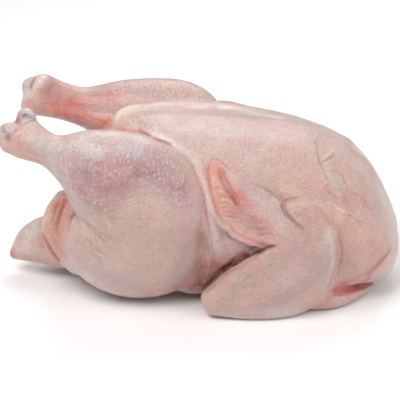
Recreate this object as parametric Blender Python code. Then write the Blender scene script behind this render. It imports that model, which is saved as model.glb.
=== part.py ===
"""A whole raw chicken, plucked and dressed, lying on its back with the breast up.

Metres, +Z up. +X runs from the tail to the neck, so the bird's left side is at -Y.
The bird is one piece of meat and skin: every form below is fused into one solid.
"""

import math

import bmesh
import bpy
import numpy as np

# Driving dimension: the bird's length, from the hocks to the front of the breast. Every form is
# laid out on a bird of the layout length, and the finished solid is scaled from that to this.
BIRD_LENGTH = 0.263
LAYOUT_LENGTH = 0.313

# The trunk, from the tail root to the neck.
TRUNK_REAR = -0.108
TRUNK_FRONT = 0.157
KEEL_HEIGHT = 0.137
BREAST_WIDTH = 0.144
KEEL_LEAN = -0.014
KEEL_RIDGE = 0.0035
KEEL_RIDGE_WIDTH = 0.008

# Share of the trunk's length, share of its half width, underside in metres, share of the keel height.
TRUNK_STATIONS = [
    (0.00, 0.36, 0.012, 0.29),
    (0.04, 0.52, 0.006, 0.54),
    (0.09, 0.64, 0.002, 0.82),
    (0.145, 0.70, -0.001, 0.95),
    (0.24, 0.76, -0.003, 1.00),
    (0.37, 0.88, -0.003, 1.00),
    (0.52, 0.98, -0.003, 0.985),
    (0.69, 1.00, -0.003, 0.935),
    (0.82, 0.97, -0.002, 0.838),
    (0.915, 0.84, 0.002, 0.684),
    (0.97, 0.62, 0.009, 0.505),
    (1.00, 0.32, 0.020, 0.345),
]

# How blunt the trunk's section is: its back, the right breast and the fuller left breast.
BACK_BLUNTNESS = 2.8
RIGHT_BLUNTNESS = 3.0
LEFT_BLUNTNESS = 2.2

# Joints of each leg, centre and radius of each knuckle, and share of the drumstick's length, half width,
# half height.
LEFT_LEG = {
    "side": -1,
    "hip": (-0.047, -0.048, 0.053),
    "knee": (-0.008, -0.052, 0.076),
    "drumstick": [
        (-0.034, -0.060, 0.0965),
        (-0.063, -0.0625, 0.1035),
        (-0.088, -0.0610, 0.1148),
        (-0.1115, -0.0575, 0.1262),
    ],
    "hock": (-0.136, -0.055, 0.1350),
    "knuckles": [
        ((-0.1440, -0.0600, 0.1420), 0.0080),
        ((-0.1316, -0.0475, 0.1490), 0.0083),
        ((-0.1440, -0.0620, 0.1330), 0.0078),
    ],
    "thickness": [
        (0.00, 0.020, 0.022),
        (0.16, 0.028, 0.036),
        (0.36, 0.029, 0.041),
        (0.52, 0.027, 0.0375),
        (0.62, 0.0225, 0.0305),
        (0.72, 0.0155, 0.0198),
        (0.82, 0.0128, 0.0142),
        (0.93, 0.0140, 0.0158),
        (1.00, 0.0145, 0.0170),
    ],
}
RIGHT_LEG = {
    "side": 1,
    "hip": (-0.043, 0.048, 0.060),
    "knee": (0.002, 0.052, 0.090),
    "drumstick": [
        (-0.014, 0.057, 0.1075),
        (-0.044, 0.059, 0.1120),
        (-0.076, 0.058, 0.1195),
        (-0.104, 0.056, 0.1265),
    ],
    "hock": (-0.1335, 0.055, 0.1335),
    "knuckles": [
        ((-0.1385, 0.0600, 0.1385), 0.0092),
        ((-0.1285, 0.0490, 0.1445), 0.0105),
        ((-0.1395, 0.0545, 0.1245), 0.0090),
    ],
    "thickness": [
        (0.00, 0.020, 0.022),
        (0.16, 0.028, 0.034),
        (0.36, 0.029, 0.036),
        (0.54, 0.025, 0.030),
        (0.66, 0.019, 0.023),
        (0.76, 0.0150, 0.0175),
        (0.84, 0.0135, 0.0150),
        (0.93, 0.0145, 0.0155),
        (1.00, 0.0155, 0.0180),
    ],
}
THIGH_RADII = (0.062, 0.040, 0.054)
FLANK_RADII = (0.056, 0.034, 0.047)
FLANK_SHIFT = (0.006, 0.009, 0.026)

# Joints of each folded wing. The tip of the right wing lies higher, on the breast.
LEFT_WING = {
    "side": -1,
    "shoulder": (0.108, -0.048, 0.034),
    "upper_arm": (0.066, -0.079, 0.015),
    "elbow": (0.007, -0.085, 0.012),
    "forearm": (0.042, -0.087, 0.036),
    "wrist": (0.077, -0.084, 0.078),
    "hand": [(0.054, -0.087, 0.078), (0.033, -0.083, 0.0865), (0.0175, -0.0720, 0.102)],
    "tip": (0.007, -0.058, 0.1155),
    "lobe": [(0.034, -0.087, 0.021), (0.060, -0.086, 0.034), (0.083, -0.080, 0.045), (0.097, -0.066, 0.047)],
    "bed": (0.030, -0.047, 0.050),
}
RIGHT_WING = {
    "side": 1,
    "shoulder": (0.108, 0.045, 0.034),
    "upper_arm": (0.066, 0.076, 0.015),
    "elbow": (0.007, 0.083, 0.012),
    "forearm": (0.042, 0.080, 0.036),
    "wrist": (0.078, 0.070, 0.079),
    "hand": [(0.056, 0.070, 0.082), (0.042, 0.063, 0.097), (0.030, 0.054, 0.1155)],
    "tip": (0.011, 0.0465, 0.1290),
    "lobe": [(0.034, 0.082, 0.021), (0.060, 0.079, 0.034), (0.083, 0.071, 0.045), (0.097, 0.058, 0.047)],
    "bed": (0.030, 0.040, 0.052),
}
WING_LOBE_THICKNESS = [
    (0.00, 0.009, 0.010),
    (0.25, 0.013, 0.020),
    (0.50, 0.014, 0.028),
    (0.80, 0.013, 0.038),
    (1.00, 0.010, 0.026),
]
UPPER_ARM_THICKNESS = [(0.00, 0.018, 0.020), (0.35, 0.016, 0.019), (0.75, 0.014, 0.015), (1.00, 0.009, 0.011)]
FOREARM_THICKNESS = [(0.00, 0.010, 0.011), (0.35, 0.014, 0.016), (0.70, 0.013, 0.016), (1.00, 0.010, 0.013)]
HAND_THICKNESS = [
    (0.00, 0.0090, 0.0130),
    (0.25, 0.0075, 0.0190),
    (0.50, 0.0060, 0.0215),
    (0.75, 0.0055, 0.0145),
    (1.00, 0.0040, 0.0040),
]
WRIST_RADII = (0.019, 0.012, 0.018)
HEEL_RADII = (0.021, 0.0135, 0.027)
HEEL_SHIFT = (0.006, 0.001, -0.016)
WING_BED_RADII = (0.048, 0.033, 0.045)
LOW_FLANK = (-0.004, 0.048, 0.0305)
LOW_FLANK_RADII = (0.031, 0.027, 0.029)

# Resolution of the fused skin.
RING_SIDES = 24
VOXEL = 0.0028
SMOOTH_PASSES = 11
TRIANGLE_GOAL = 9000

SKIN_COLOUR = (0.68, 0.47, 0.40, 1.0)
SKIN_ROUGHNESS = 0.42


def clear_scene():
    for obj in list(bpy.data.objects):
        bpy.data.objects.remove(obj)


def smooth_row(rows, steps):
    """Catmull-Rom interpolation of every column of a short table, evened to that many steps."""
    rows = np.array(rows, float)
    padded = np.vstack([2 * rows[0] - rows[1], rows, 2 * rows[-1] - rows[-2]])
    out = []
    for t in np.linspace(0, len(rows) - 1, steps):
        i = min(int(t), len(rows) - 2)
        u = t - i
        a, b, c, d = padded[i : i + 4]
        linear = (c - a) * u
        square = (2 * a - 5 * b + 4 * c - d) * u**2
        cubic = (3 * b - a - 3 * c + d) * u**3
        out.append(0.5 * (2 * b + linear + square + cubic))
    return np.array(out)


def skin_rings(name, rings, start, end):
    """A closed mesh over rings of equally many points, with a pole point at each end."""
    mesh = bmesh.new()
    loops = [[mesh.verts.new(p) for p in ring] for ring in rings]
    count = len(loops[0])
    for low, high in zip(loops, loops[1:]):
        for i in range(count):
            j = (i + 1) % count
            mesh.faces.new((low[i], low[j], high[j], high[i]))
    for pole, loop in ((mesh.verts.new(start), loops[0]), (mesh.verts.new(end), loops[-1])):
        for i in range(count):
            mesh.faces.new((pole, loop[i], loop[(i + 1) % count]))
    bmesh.ops.recalc_face_normals(mesh, faces=mesh.faces)
    data = bpy.data.meshes.new(name)
    mesh.to_mesh(data)
    mesh.free()
    obj = bpy.data.objects.new(name, data)
    bpy.context.scene.collection.objects.link(obj)
    return obj


def limb(name, spine, profile, across=(0, 1, 0), rings=14):
    """A rounded limb along a smooth spine. profile holds (share of the length, half width, half height)."""
    centres = smooth_row(spine, rings)
    table = smooth_row(profile, 60)
    at = np.linspace(0, 1, rings)
    wides = np.interp(at, table[:, 0], table[:, 1])
    talls = np.interp(at, table[:, 0], table[:, 2])
    tangents = np.gradient(centres, axis=0)
    tangents /= np.linalg.norm(tangents, axis=1)[:, None]
    loops = []
    for centre, along, w, h in zip(centres, tangents, wides, talls):
        side = np.array(across, float)
        side -= along * side.dot(along)
        side /= np.linalg.norm(side)
        up = np.cross(along, side)
        turns = np.arange(RING_SIDES) * math.tau / RING_SIDES
        loops.append([centre + side * w * math.cos(t) + up * h * math.sin(t) for t in turns])
    start = centres[0] - tangents[0] * min(wides[0], talls[0]) * 0.6
    end = centres[-1] + tangents[-1] * min(wides[-1], talls[-1]) * 0.6
    return skin_rings(name, loops, start, end)


def ball(name, centre, radii):
    """An ellipsoid, for round meat and joints."""
    bpy.ops.mesh.primitive_uv_sphere_add(segments=RING_SIDES, ring_count=RING_SIDES // 2, location=centre)
    obj = bpy.context.object
    obj.name = name
    obj.scale = radii
    bpy.ops.object.transform_apply(location=False, rotation=False, scale=True)
    return obj


def trunk():
    """The breast and back: rings across X, flat below, with a low ridge along the keel."""
    half = BREAST_WIDTH / 2
    sides = 2 * RING_SIDES
    loops = []
    for share, width, low, height in smooth_row(TRUNK_STATIONS, 30):
        x = TRUNK_REAR + share * (TRUNK_FRONT - TRUNK_REAR)
        high = height * KEEL_HEIGHT
        middle = low + 0.42 * (high - low)
        loop = []
        for i in range(sides):
            c = math.cos(i * math.tau / sides)
            s = math.sin(i * math.tau / sides)
            blunt = BACK_BLUNTNESS if s < 0 else RIGHT_BLUNTNESS if c > 0 else LEFT_BLUNTNESS
            y = width * half * math.copysign(abs(c) ** (2 / blunt), c)
            reach = (high - middle) if s > 0 else (middle - low)
            z = middle + reach * math.copysign(abs(s) ** (2 / blunt), s)
            if s > 0:
                z += KEEL_RIDGE * math.exp(-((y / KEEL_RIDGE_WIDTH) ** 2)) * s
            loop.append((x, y + KEEL_LEAN * z / KEEL_HEIGHT, z))
        loops.append(loop)
    start = (TRUNK_REAR - 0.004, 0, 0.026)
    end = (TRUNK_FRONT + 0.002, 0, 0.034)
    return skin_rings("chicken", loops, start, end)


def moved(point, dx=0.0, dy=0.0, dz=0.0):
    return (point[0] + dx, point[1] + dy, point[2] + dz)


def on_side(side, *points):
    """Points given for the right side. Half the lean of the keel moves them, on either side."""
    return [(x, side * y + 0.5 * KEEL_LEAN * z / KEEL_HEIGHT, z) for x, y, z in points]


def tagged(name, side):
    return f"{name}_{'left' if side < 0 else 'right'}"


def leg(joints):
    """Thigh, drumstick and the bare end of the shank with its knuckles."""
    side = joints["side"]
    hip = joints["hip"]
    spine = [joints["knee"], *joints["drumstick"], joints["hock"]]
    along, out, up = FLANK_SHIFT
    knuckles = [ball(tagged("knuckle", side), place, (radius,) * 3) for place, radius in joints["knuckles"]]
    return [
        limb(tagged("drumstick", side), spine, joints["thickness"], rings=24),
        ball(tagged("thigh", side), hip, THIGH_RADII),
        ball(tagged("flank", side), moved(hip, along, side * out, up), FLANK_RADII),
        *knuckles,
    ]


def wing(joints):
    """Upper arm from shoulder back to elbow, forearm forward to wrist, flat hand back up to its tip."""
    side = joints["side"]
    elbow = joints["elbow"]
    wrist = joints["wrist"]
    lobe_spine = [elbow, *joints["lobe"]]
    arm_spine = [joints["shoulder"], joints["upper_arm"], elbow]
    forearm_spine = [elbow, joints["forearm"], wrist]
    hand_spine = [moved(wrist, dx=-0.003, dz=-0.004), *joints["hand"], joints["tip"]]
    return [
        limb(tagged("wing_lobe", side), lobe_spine, WING_LOBE_THICKNESS),
        limb(tagged("upper_arm", side), arm_spine, UPPER_ARM_THICKNESS),
        limb(tagged("forearm", side), forearm_spine, FOREARM_THICKNESS),
        limb(tagged("hand", side), hand_spine, HAND_THICKNESS, across=(0, -side, -0.45)),
        ball(tagged("wrist", side), wrist, WRIST_RADII),
        ball(tagged("heel_of_hand", side), moved(wrist, *HEEL_SHIFT), HEEL_RADII),
        ball(tagged("wing_bed", side), joints["bed"], WING_BED_RADII),
    ]


def low_flank(side):
    """The meat of the back between the thigh and the elbow."""
    return ball(tagged("low_flank", side), on_side(side, LOW_FLANK)[0], LOW_FLANK_RADII)


def breast_flap():
    """The rolled edge of the breast skin, over the mouth of the cavity."""
    spine = [
        (-0.028, -0.041, 0.1215),
        (-0.049, -0.023, 0.1280),
        (-0.0650, -0.006, 0.1265),
        (-0.0630, 0.010, 0.1305),
        (-0.050, 0.024, 0.1305),
        (-0.028, 0.038, 0.1240),
    ]
    thickness = [(0, 0.007, 0.005), (0.5, 0.008, 0.007), (1, 0.007, 0.005)]
    return limb("breast_flap", spine, thickness, across=(1, 0, 0))


def far_breast():
    """The right breast beside the keel, which stands nearly as high as the leaning keel."""
    spine = [
        (-0.054, 0.015, 0.1255),
        (-0.035, 0.025, 0.1262),
        (-0.005, 0.031, 0.1242),
        (0.035, 0.031, 0.1203),
        (0.080, 0.026, 0.1108),
        (0.118, 0.014, 0.0985),
    ]
    thickness = [(0, 0.011, 0.0095), (0.3, 0.014, 0.0110), (0.7, 0.015, 0.0115), (1, 0.012, 0.009)]
    return limb("far_breast", spine, thickness)


def leg_membrane(side):
    """The thin skin that hangs between the drumstick and the edge of the cavity."""
    spine = on_side(
        side,
        (-0.104, 0.052, 0.1215),
        (-0.090, 0.050, 0.1170),
        (-0.076, 0.046, 0.1130),
        (-0.058, 0.040, 0.1130),
    )
    thickness = [(0, 0.004, 0.004), (0.4, 0.006, 0.006), (1, 0.009, 0.009)]
    return limb(tagged("leg_membrane", side), spine, thickness)


def neck_cut():
    """The groove round the front where the neck came off, between neck skin and back."""
    spine = [
        (0.100, -0.080, 0.017),
        (0.121, -0.059, 0.0130),
        (0.143, -0.033, 0.0125),
        (0.156, 0.000, 0.0140),
        (0.143, 0.032, 0.0125),
        (0.121, 0.058, 0.0125),
    ]
    thickness = [
        (0.0, 0.003, 0.003),
        (0.3, 0.009, 0.0045),
        (0.5, 0.012, 0.005),
        (0.7, 0.009, 0.0045),
        (1.0, 0.003, 0.003),
    ]
    return limb("neck_cut", spine, thickness, across=(1, 0, 0))


def tail():
    spine = [(-0.095, 0, 0.033), (-0.116, 0, 0.028), (-0.134, 0, 0.0250), (-0.1530, -0.001, 0.0150)]
    thickness = [(0, 0.034, 0.028), (0.4, 0.025, 0.022), (0.75, 0.016, 0.0155), (1, 0.0050, 0.0042)]
    return limb("tail", spine, thickness)


def vent_fold(side):
    """The loose skin beside the tail, which the thigh pushes back."""
    spine = on_side(
        side,
        (-0.101, 0.050, 0.086),
        (-0.109, 0.047, 0.068),
        (-0.107, 0.042, 0.047),
        (-0.090, 0.037, 0.030),
    )
    return limb(tagged("vent_fold", side), spine, [(0, 0.008, 0.010), (0.4, 0.010, 0.013), (1, 0.016, 0.018)])


def knee_web(side):
    """The band of skin from the breast flap down between the knee and the wing."""
    spine = on_side(
        side,
        (-0.034, 0.031, 0.1270),
        (-0.016, 0.044, 0.1180),
        (0.004, 0.057, 0.094),
        (0.014, 0.065, 0.064),
        (0.022, 0.064, 0.036),
    )
    return limb(tagged("knee_web", side), spine, [(0, 0.010, 0.006), (0.5, 0.012, 0.008), (1, 0.012, 0.012)])


def back_lobe(side):
    """The skin of the back that shows in front of the wing, under the neck cut."""
    spine = on_side(side, (0.060, 0.056, 0.010), (0.098, 0.062, 0.0075), (0.128, 0.036, 0.0075))
    thickness = [(0, 0.018, 0.011), (0.6, 0.016, 0.0095), (1, 0.014, 0.007)]
    return limb(tagged("back_lobe", side), spine, thickness)


def cavity():
    """The drawn body cavity, open at the rear between the legs."""
    spine = [
        (-0.160, 0, 0.092),
        (-0.110, 0, 0.088),
        (-0.062, 0, 0.077),
        (0.000, 0, 0.065),
        (0.080, 0, 0.056),
    ]
    thickness = [
        (0.00, 0.018, 0.024),
        (0.20, 0.021, 0.031),
        (0.40, 0.029, 0.037),
        (0.65, 0.040, 0.040),
        (0.87, 0.034, 0.031),
        (1.00, 0.018, 0.016),
    ]
    return limb("cavity", spine, thickness, rings=24)


def vent():
    """The narrow lower end of the cavity's mouth, above the tail."""
    spine = [(-0.150, 0, 0.064), (-0.110, 0, 0.062), (-0.070, 0, 0.063)]
    return limb("vent", spine, [(0, 0.009, 0.010), (0.5, 0.011, 0.015), (1, 0.015, 0.017)])


def modifier(obj, kind, **settings):
    made = obj.modifiers.new(kind.lower(), kind)
    for key, value in settings.items():
        setattr(made, key, value)
    bpy.context.view_layer.objects.active = obj
    bpy.ops.object.modifier_apply(modifier=made.name)


def fuse(base, forms, cutters):
    """One skin over all forms, minus the cutters."""
    group = bpy.data.collections.new("forms")
    bpy.context.scene.collection.children.link(group)
    for obj in forms:
        for owner in list(obj.users_collection):
            owner.objects.unlink(obj)
        group.objects.link(obj)
    modifier(base, "BOOLEAN", operation="UNION", operand_type="COLLECTION", collection=group)
    for cutter in cutters:
        modifier(base, "BOOLEAN", operation="DIFFERENCE", object=cutter)
    for obj in [*forms, *cutters]:
        bpy.data.objects.remove(obj)
    bpy.data.collections.remove(group)
    modifier(base, "REMESH", mode="VOXEL", voxel_size=VOXEL)
    modifier(base, "SMOOTH", factor=0.5, iterations=SMOOTH_PASSES)


def cut_at_floor(obj):
    """A flat face to rest on, where the soft back meets the floor."""
    mesh = bmesh.new()
    mesh.from_mesh(obj.data)
    everything = mesh.verts[:] + mesh.edges[:] + mesh.faces[:]
    down = (0, 0, -1)
    cut = bmesh.ops.bisect_plane(mesh, geom=everything, plane_co=(0, 0, 0), plane_no=down, clear_outer=True)
    edges = [e for e in cut["geom_cut"] if isinstance(e, bmesh.types.BMEdge)]
    bmesh.ops.holes_fill(mesh, edges=edges)
    bmesh.ops.recalc_face_normals(mesh, faces=mesh.faces)
    mesh.to_mesh(obj.data)
    mesh.free()


def scale_to_length(obj):
    factor = BIRD_LENGTH / LAYOUT_LENGTH
    for vertex in obj.data.vertices:
        vertex.co *= factor


def skin_material():
    made = bpy.data.materials.new("skin")
    made.use_nodes = True
    shader = made.node_tree.nodes["Principled BSDF"]
    shader.inputs["Base Color"].default_value = SKIN_COLOUR
    shader.inputs["Roughness"].default_value = SKIN_ROUGHNESS
    shader.inputs["Metallic"].default_value = 0.0
    return made


def main():
    clear_scene()
    chicken = trunk()
    forms = [tail(), breast_flap(), far_breast()]
    for joints in (LEFT_LEG, RIGHT_LEG):
        forms += leg(joints)
    for joints in (LEFT_WING, RIGHT_WING):
        forms += wing(joints)
    for side in (-1, 1):
        forms += [vent_fold(side), knee_web(side), back_lobe(side), low_flank(side), leg_membrane(side)]
    fuse(chicken, forms, [cavity(), vent(), neck_cut()])
    modifier(chicken, "DECIMATE", ratio=TRIANGLE_GOAL / (2 * len(chicken.data.polygons)))
    cut_at_floor(chicken)
    scale_to_length(chicken)
    chicken.data.materials.append(skin_material())
    chicken.data.shade_smooth()


main()
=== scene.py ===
import math

import bpy
import numpy as np
from mathutils import Matrix, Vector


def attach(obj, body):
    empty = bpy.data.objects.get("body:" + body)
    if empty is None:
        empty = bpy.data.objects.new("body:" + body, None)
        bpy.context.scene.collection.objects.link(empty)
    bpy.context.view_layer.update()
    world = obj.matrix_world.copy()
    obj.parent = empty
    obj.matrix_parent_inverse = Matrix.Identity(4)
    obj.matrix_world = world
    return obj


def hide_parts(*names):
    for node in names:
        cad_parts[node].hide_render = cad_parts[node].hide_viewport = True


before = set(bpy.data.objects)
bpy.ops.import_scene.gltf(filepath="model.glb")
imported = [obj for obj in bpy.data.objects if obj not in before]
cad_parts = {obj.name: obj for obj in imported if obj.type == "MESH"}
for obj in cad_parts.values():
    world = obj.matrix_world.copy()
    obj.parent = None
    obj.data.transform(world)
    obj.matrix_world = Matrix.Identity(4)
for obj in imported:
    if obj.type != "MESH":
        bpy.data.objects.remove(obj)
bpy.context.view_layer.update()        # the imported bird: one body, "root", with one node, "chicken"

print("frame loaded")

# The forms are laid out on a bird of the layout length, as in the solid, then brought to the real length.
bird = {"length": 0.263, "layoutLength": 0.313, "keelHeight": 0.137, "keelLean": -0.014}
size = bird["length"] / bird["layoutLength"]

# The photo's view. Places on the skin are found by casting rays through its pixels.
view = {
    "side": 400,
    "centre": (200, 203),
    "elevation": 22.0,
    "distance": 1.25 * size,
    "aim": (0.0, 0.0, 0.060 * size),
    "width": 0.3225 * size,
    "sensor": 36,
    "rayStep": 0.9,        # pixels between the rays of a stroke
    "seenWithin": 0.002,        # a place this near to where its ray ends is in sight
}
focalPixels = view["side"] / view["width"] * view["distance"]
pixelSize = view["width"] / view["side"]
rise = math.radians(view["elevation"])
towardsCamera = Vector((0, -math.cos(rise), math.sin(rise)))
cameraUp = Vector((0, math.sin(rise), math.cos(rise)))
cameraPlace = Vector(view["aim"]) + towardsCamera * view["distance"]


def makeCamera():
    data = bpy.data.cameras.new("photoCamera")
    data.sensor_width = view["sensor"]
    data.lens = view["sensor"] * view["distance"] / view["width"]
    data.shift_y = (view["centre"][1] - view["side"] / 2) / view["side"]
    camera = bpy.data.objects.new("photoCamera", data)
    bpy.context.scene.collection.objects.link(camera)
    camera.location = cameraPlace
    camera.rotation_mode = "QUATERNION"
    camera.rotation_quaternion = (-towardsCamera).to_track_quat("-Z", "Y")
    bpy.context.scene.camera = camera


makeCamera()
print("camera placed")


# Modelling by hand: one circle or ball at a time, shaped in edit mode.
def pickNothing():
    bpy.ops.object.select_all(action="DESELECT")


def pickOnly(*objects):
    pickNothing()
    for obj in objects:
        obj.select_set(True)
    bpy.context.view_layer.objects.active = objects[0]


def editAll():
    bpy.ops.object.mode_set(mode="EDIT")
    bpy.ops.mesh.select_all(action="SELECT")


def leaveEdit():
    bpy.ops.mesh.select_all(action="DESELECT")
    bpy.ops.object.mode_set(mode="OBJECT")


def faceOutwards():
    bpy.ops.mesh.select_all(action="SELECT")
    bpy.ops.mesh.normals_make_consistent(inside=False)
    bpy.ops.object.mode_set(mode="OBJECT")


def smoothRow(rows, steps):        # Catmull-Rom through a short table
    rows = np.array(rows, float)
    padded = np.vstack([2 * rows[0] - rows[1], rows, 2 * rows[-1] - rows[-2]])
    out = []
    for t in np.linspace(0, len(rows) - 1, steps):
        i = min(int(t), len(rows) - 2)
        u = t - i
        a, b, c, d = padded[i : i + 4]
        linear = (c - a) * u
        square = (2 * a - 5 * b + 4 * c - d) * u**2
        cubic = (3 * b - a - 3 * c + d) * u**3
        out.append(0.5 * (2 * b + linear + square + cubic))
    return np.array(out)


def ringFrame(along, across):        # columns: side, up and along
    along = Vector(along).normalized()
    side = Vector(across)
    side = (side - along * side.dot(along)).normalized()
    return Matrix((side, along.cross(side), along)).transposed()


def turnRing(before, after, centre):        # turns the selected ring from one frame to the next
    turn = (after @ before.inverted()).to_quaternion()
    axis, angle = turn.to_axis_angle()
    if abs(angle) < 1e-5:
        return
    spare = Vector((1, 0, 0)) if abs(axis.x) < 0.7 else Vector((0, 1, 0))
    first = spare.cross(axis).normalized()
    basis = Matrix((first, axis.cross(first), axis)).transposed()
    bpy.ops.transform.rotate(
        value=angle,
        orient_axis="Z",
        orient_type="GLOBAL",
        orient_matrix=basis,
        orient_matrix_type="GLOBAL",
        constraint_axis=(False, False, True),
        center_override=centre,
    )


def resizeRing(basis, wide, tall, centre):
    bpy.ops.transform.resize(
        value=(wide, tall, 1),
        orient_type="GLOBAL",
        orient_matrix=basis,
        orient_matrix_type="GLOBAL",
        center_override=centre,
    )


roundEnd = {"reach": 0.55, "rings": ((0.6, 0.80), (1.0, 0.45))}        # how the two rings of an end close
tableSteps = 60        # a thickness table is read off at this many places


def growLimb(name, spine, thickness, across=(0, 1, 0), rings=14, sides=24):
    centres = smoothRow(spine, rings)
    table = smoothRow(thickness, tableSteps)
    at = np.linspace(0, 1, rings)
    wides = np.interp(at, table[:, 0], table[:, 1])
    talls = np.interp(at, table[:, 0], table[:, 2])
    tangents = np.gradient(centres, axis=0)
    frames = [ringFrame(t, across) for t in tangents]
    pickNothing()
    bpy.ops.mesh.primitive_circle_add(vertices=sides, radius=1.0, fill_type="NGON")
    limb = bpy.context.object
    limb.name = name
    editAll()
    turnRing(Matrix.Identity(3), frames[0], (0, 0, 0))
    resizeRing(frames[0], wides[0], talls[0], (0, 0, 0))
    bpy.ops.transform.translate(value=centres[0])
    reach = roundEnd["reach"]
    for k in range(1, rings):
        bpy.ops.mesh.extrude_region_move(TRANSFORM_OT_translate={"value": centres[k] - centres[k - 1]})
        turnRing(frames[k - 1], frames[k], centres[k])
        resizeRing(frames[k], wides[k] / wides[k - 1], talls[k] / talls[k - 1], centres[k])
    closeEnd(frames[-1], centres[-1], min(wides[-1], talls[-1]) * reach)
    leaveEdit()
    for vertex in limb.data.vertices[:sides]:
        vertex.select = True
    for polygon in limb.data.polygons:
        polygon.select = all(v < sides for v in polygon.vertices)
    bpy.ops.object.mode_set(mode="EDIT")
    closeEnd(frames[0], centres[0], -min(wides[0], talls[0]) * reach)
    faceOutwards()
    return limb


def closeEnd(basis, centre, reach):        # two smaller rings past the selected one
    along = basis.col[2]
    done = 0.0
    for share, shrink in roundEnd["rings"]:
        bpy.ops.mesh.extrude_region_move(TRANSFORM_OT_translate={"value": along * reach * (share - done)})
        resizeRing(basis, shrink, shrink, Vector(centre) + along * reach * share)
        done = share


def growBall(name, centre, radii):
    pickNothing()
    bpy.ops.mesh.primitive_uv_sphere_add(segments=32, ring_count=16, radius=1.0, location=centre)
    ball = bpy.context.object
    ball.name = name
    editAll()
    bpy.ops.transform.resize(value=radii, center_override=centre)
    bpy.ops.object.mode_set(mode="OBJECT")
    bpy.ops.object.transform_apply(location=True, rotation=True, scale=True)
    return ball


def applyModifier(obj, kind, **settings):
    pickOnly(obj)
    made = obj.modifiers.new(kind.lower(), kind)
    for key, value in settings.items():
        setattr(made, key, value)
    bpy.ops.object.modifier_apply(modifier=made.name)


def smoothOut(obj, passes, group=""):
    applyModifier(obj, "SMOOTH", factor=0.5, iterations=passes, vertex_group=group)


def fuseForms(name, forms, voxel, passes):        # one skin round all forms, rounded where they meet
    pickOnly(*forms)
    bpy.ops.object.join()
    fused = bpy.context.object
    fused.name = name
    applyModifier(fused, "REMESH", mode="VOXEL", voxel_size=voxel)
    if passes:
        smoothOut(fused, passes)
    return fused


def moved(point, dx=0.0, dy=0.0, dz=0.0):
    return (point[0] + dx, point[1] + dy, point[2] + dz)


# Trunk: breast, keel and back.
trunk = {
    "rear": -0.108,
    "front": 0.1585,
    "halfWidth": 0.072,
    "ridge": 0.0032,
    "ridgeWidth": 0.008,
    "backBlunt": 2.8,
    "rightBlunt": 3.0,
    "leftBlunt": 2.2,
    "widestAt": 0.42,        # share of the height
    "rings": 30,
    "sides": 64,
    "stations": [        # share of the length, share of the half width, underside, share of the keel height
        (0.00, 0.36, 0.012, 0.29),
        (0.04, 0.52, 0.006, 0.54),
        (0.09, 0.64, 0.002, 0.82),
        (0.145, 0.70, -0.001, 0.95),
        (0.24, 0.76, -0.003, 1.00),
        (0.37, 0.88, -0.003, 1.00),
        (0.52, 0.98, -0.003, 0.985),
        (0.69, 1.00, -0.003, 0.940),
        (0.82, 0.97, -0.002, 0.844),
        (0.915, 0.84, 0.002, 0.686),
        (0.97, 0.62, 0.009, 0.485),
        (1.00, 0.32, 0.020, 0.340),
    ],
}


def growTrunk():
    rows = smoothRow(trunk["stations"], trunk["rings"])
    length = trunk["front"] - trunk["rear"]
    pickNothing()
    bpy.ops.mesh.primitive_circle_add(vertices=trunk["sides"], radius=1.0, fill_type="NGON")
    obj = bpy.context.object
    obj.name = "trunk"
    editAll()
    for step in range(1, len(rows)):
        bpy.ops.mesh.extrude_region_move(TRANSFORM_OT_translate={"value": (0, 0, 1)})
    leaveEdit()
    for vertex in obj.data.vertices:        # each ring takes its station's blunt section
        share, width, low, height = rows[round(vertex.co.z)]
        high = height * bird["keelHeight"]
        middle = low + trunk["widestAt"] * (high - low)
        c, s = vertex.co.x, vertex.co.y
        blunt = trunk["backBlunt"] if s < 0 else trunk["rightBlunt"] if c > 0 else trunk["leftBlunt"]
        y = width * trunk["halfWidth"] * math.copysign(abs(c) ** (2 / blunt), c)
        reach = (high - middle) if s > 0 else (middle - low)
        z = middle + reach * math.copysign(abs(s) ** (2 / blunt), s)
        if s > 0:
            z += trunk["ridge"] * math.exp(-((y / trunk["ridgeWidth"]) ** 2)) * s
        y += bird["keelLean"] * z / bird["keelHeight"]
        vertex.co = (trunk["rear"] + share * length, y, z)
    bpy.ops.object.mode_set(mode="EDIT")
    faceOutwards()
    return obj


# Legs: joints, and share of the drumstick's length with its half width and half height there.
leftLeg = {
    "side": -1,
    "hip": (-0.047, -0.048, 0.053),
    "knee": (-0.008, -0.052, 0.076),
    "drumstick": [
        (-0.034, -0.060, 0.0965), (-0.063, -0.0625, 0.1035), (-0.087, -0.0610, 0.1165),
        (-0.1110, -0.0575, 0.1248),
    ],
    "hock": (-0.1350, -0.0545, 0.1358),
    "knuckles": [
        ((-0.1440, -0.0600, 0.1420), 0.0080), ((-0.1316, -0.0475, 0.1490), 0.0083),
        ((-0.1440, -0.0620, 0.1330), 0.0078),
    ],
    "thickness": [
        (0.00, 0.020, 0.022), (0.16, 0.028, 0.036), (0.36, 0.029, 0.041), (0.52, 0.027, 0.0375),
        (0.62, 0.0215, 0.0292), (0.72, 0.0150, 0.0205), (0.82, 0.0130, 0.0128), (0.93, 0.0142, 0.0152),
        (1.00, 0.0145, 0.0170),
    ],
}
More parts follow.
